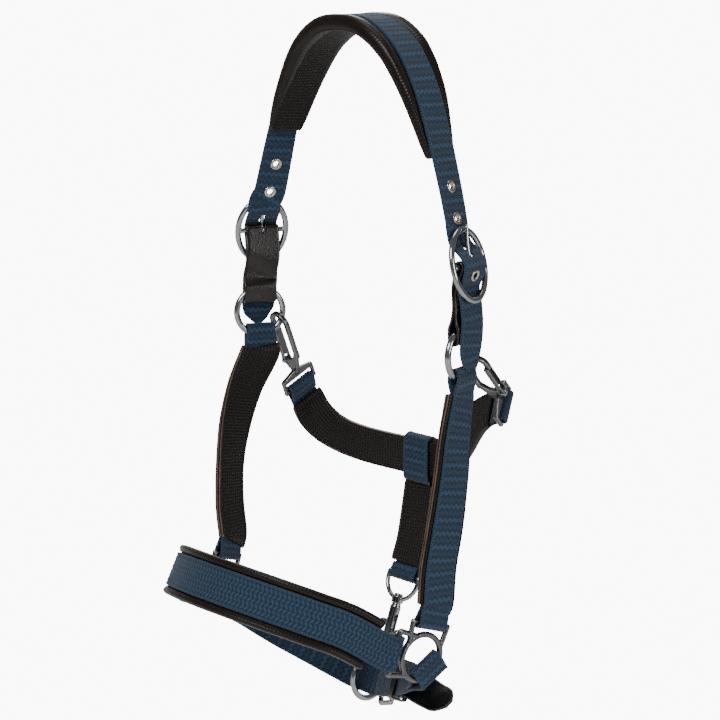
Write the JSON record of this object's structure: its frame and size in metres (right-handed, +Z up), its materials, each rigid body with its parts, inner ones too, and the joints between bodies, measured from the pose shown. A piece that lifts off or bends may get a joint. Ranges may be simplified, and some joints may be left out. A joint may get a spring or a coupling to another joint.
{
  "type": "head halter",
  "caption": "Padded webbing head halter for a horse, with crown buckles, noseband, throatlatch hooks, jaw strap snap and an adjustable chin strap.",
  "frame": {"origin": "underside of the crown pad at the poll, in the middle", "axes": "+Z up along the length of the halter, the animal faces -Y, its left side is +X"},
  "size_m": [0.2377, 0.2294, 0.5202],
  "materials": {
    "webbing": "matt woven webbing with a basket weave",
    "padding": "dark brown padding with a fine diagonal emboss and rolled edges",
    "leather": "satin black bridle leather with edge stitching",
    "cast_metal": "satin grey cast metal with bright edges",
    "eyelet_metal": "bright nickel",
    "bright_metal": "polished"
  },
  "bodies": {
    "straps": {"crown_webbing": "webbing", "crown_pad": "padding", "crown_eyelets_left": "eyelet_metal", "crown_eyelets_right": "eyelet_metal", "crown_buckle_left": "bright_metal", "crown_buckle_right": "bright_metal", "buckle_chape_left": "leather", "buckle_chape_right": "leather", "cheek_webbing_left": "webbing", "cheek_webbing_right": "webbing", "cheek_pad_left": "padding", "cheek_pad_right": "padding", "nose_fitting_left": "cast_metal", "nose_fitting_right": "cast_metal", "noseband_webbing": "webbing", "noseband_pad": "padding", "chin_webbing_left": "webbing", "chin_webbing_right": "webbing", "chin_billet": "leather", "chin_chape": "leather", "chin_buckle": "bright_metal", "throat_webbing": "webbing", "throat_pad": "padding", "throat_hook_left": "cast_metal", "throat_hook_right": "cast_metal", "gate_pin_left": "bright_metal", "gate_pin_right": "bright_metal", "gate_spring_left": "bright_metal", "gate_spring_right": "bright_metal", "jaw_webbing": "webbing", "jaw_pad": "padding", "snap_eye": "bright_metal"},
    "cheek_ring_left": {"cheek_ring_left": "bright_metal"},
    "cheek_ring_right": {"cheek_ring_right": "bright_metal"},
    "lead_ring": {"lead_ring": "bright_metal"},
    "crown_tongue_left": {"crown_tongue_left": "bright_metal"},
    "crown_tongue_right": {"crown_tongue_right": "bright_metal"},
    "throat_gate_left": {"throat_gate_left": "cast_metal"},
    "throat_gate_right": {"throat_gate_right": "cast_metal"},
    "chin_tongue": {"chin_tongue": "bright_metal"},
    "chin_keeper": {"chin_keeper": "leather"},
    "snap": {"snap_body": "bright_metal", "snap_spring": "bright_metal"},
    "snap_bolt": {"snap_bolt": "bright_metal"}
  },
  "joints": [
    {"name": "cheek_ring_left_spin", "type": "hinge", "parent": "straps", "child": "cheek_ring_left", "pos_m": [0.104, -0.004, -0.216], "axis": [0.9903, 0.1392, 0], "continuous": true},
    {"name": "crown_tongue_left_lift", "type": "hinge", "parent": "straps", "child": "crown_tongue_left", "pos_m": [0.106, -0.0012, -0.154], "axis": [-0.1392, 0.9903, 0], "range_deg": [0, 3]},
    {"name": "throat_gate_left_open", "type": "hinge", "parent": "straps", "child": "throat_gate_left", "pos_m": [0.10314, 0.0409, -0.25017], "axis": [0.2986, -0.6217, -0.7241], "range_deg": [0, 20], "stiffness_Nm_per_rad": 0.12, "springref_deg": -20.05},
    {"name": "cheek_ring_right_spin", "type": "hinge", "parent": "straps", "child": "cheek_ring_right", "pos_m": [-0.104, -0.004, -0.216], "axis": [-0.8829, 0.4695, 0], "continuous": true},
    {"name": "crown_tongue_right_lift", "type": "hinge", "parent": "straps", "child": "crown_tongue_right", "pos_m": [-0.106, 0.0008, -0.154], "axis": [-0.4695, -0.8829, 0], "range_deg": [0, 3]},
    {"name": "throat_gate_right_open", "type": "hinge", "parent": "straps", "child": "throat_gate_right", "pos_m": [-0.10715, 0.02618, -0.25868], "axis": [0.0726, 0.9024, 0.4247], "range_deg": [0, 20], "stiffness_Nm_per_rad": 0.12, "springref_deg": -20.05},
    {"name": "lead_ring_spin", "type": "hinge", "parent": "straps", "child": "lead_ring", "pos_m": [-0.003, 0.014, -0.488], "axis": [1, 0, 0], "continuous": true},
    {"name": "chin_tongue_lift", "type": "hinge", "parent": "straps", "child": "chin_tongue", "pos_m": [0.03774, 0.00068, -0.47749], "axis": [0.1399, -0.5071, -0.8504], "range_deg": [0, 3]},
    {"name": "chin_keeper_slide", "type": "slide", "parent": "straps", "child": "chin_keeper", "axis": [0.8554, -0.3707, 0.3618], "range_m": [-0.002, 0.004]},
    {"name": "snap_swivel", "type": "hinge", "parent": "straps", "child": "snap", "pos_m": [0.004, 0.03681, -0.43067], "axis": [0, -0.3697, -0.9292], "range_deg": [-8, 8]},
    {"name": "snap_bolt_draw", "type": "slide", "parent": "snap", "child": "snap_bolt", "axis": [0, 0.3697, 0.9292], "range_m": [0, 0.008], "stiffness_N_per_m": 300, "springref_m": -0.006}
  ]
}
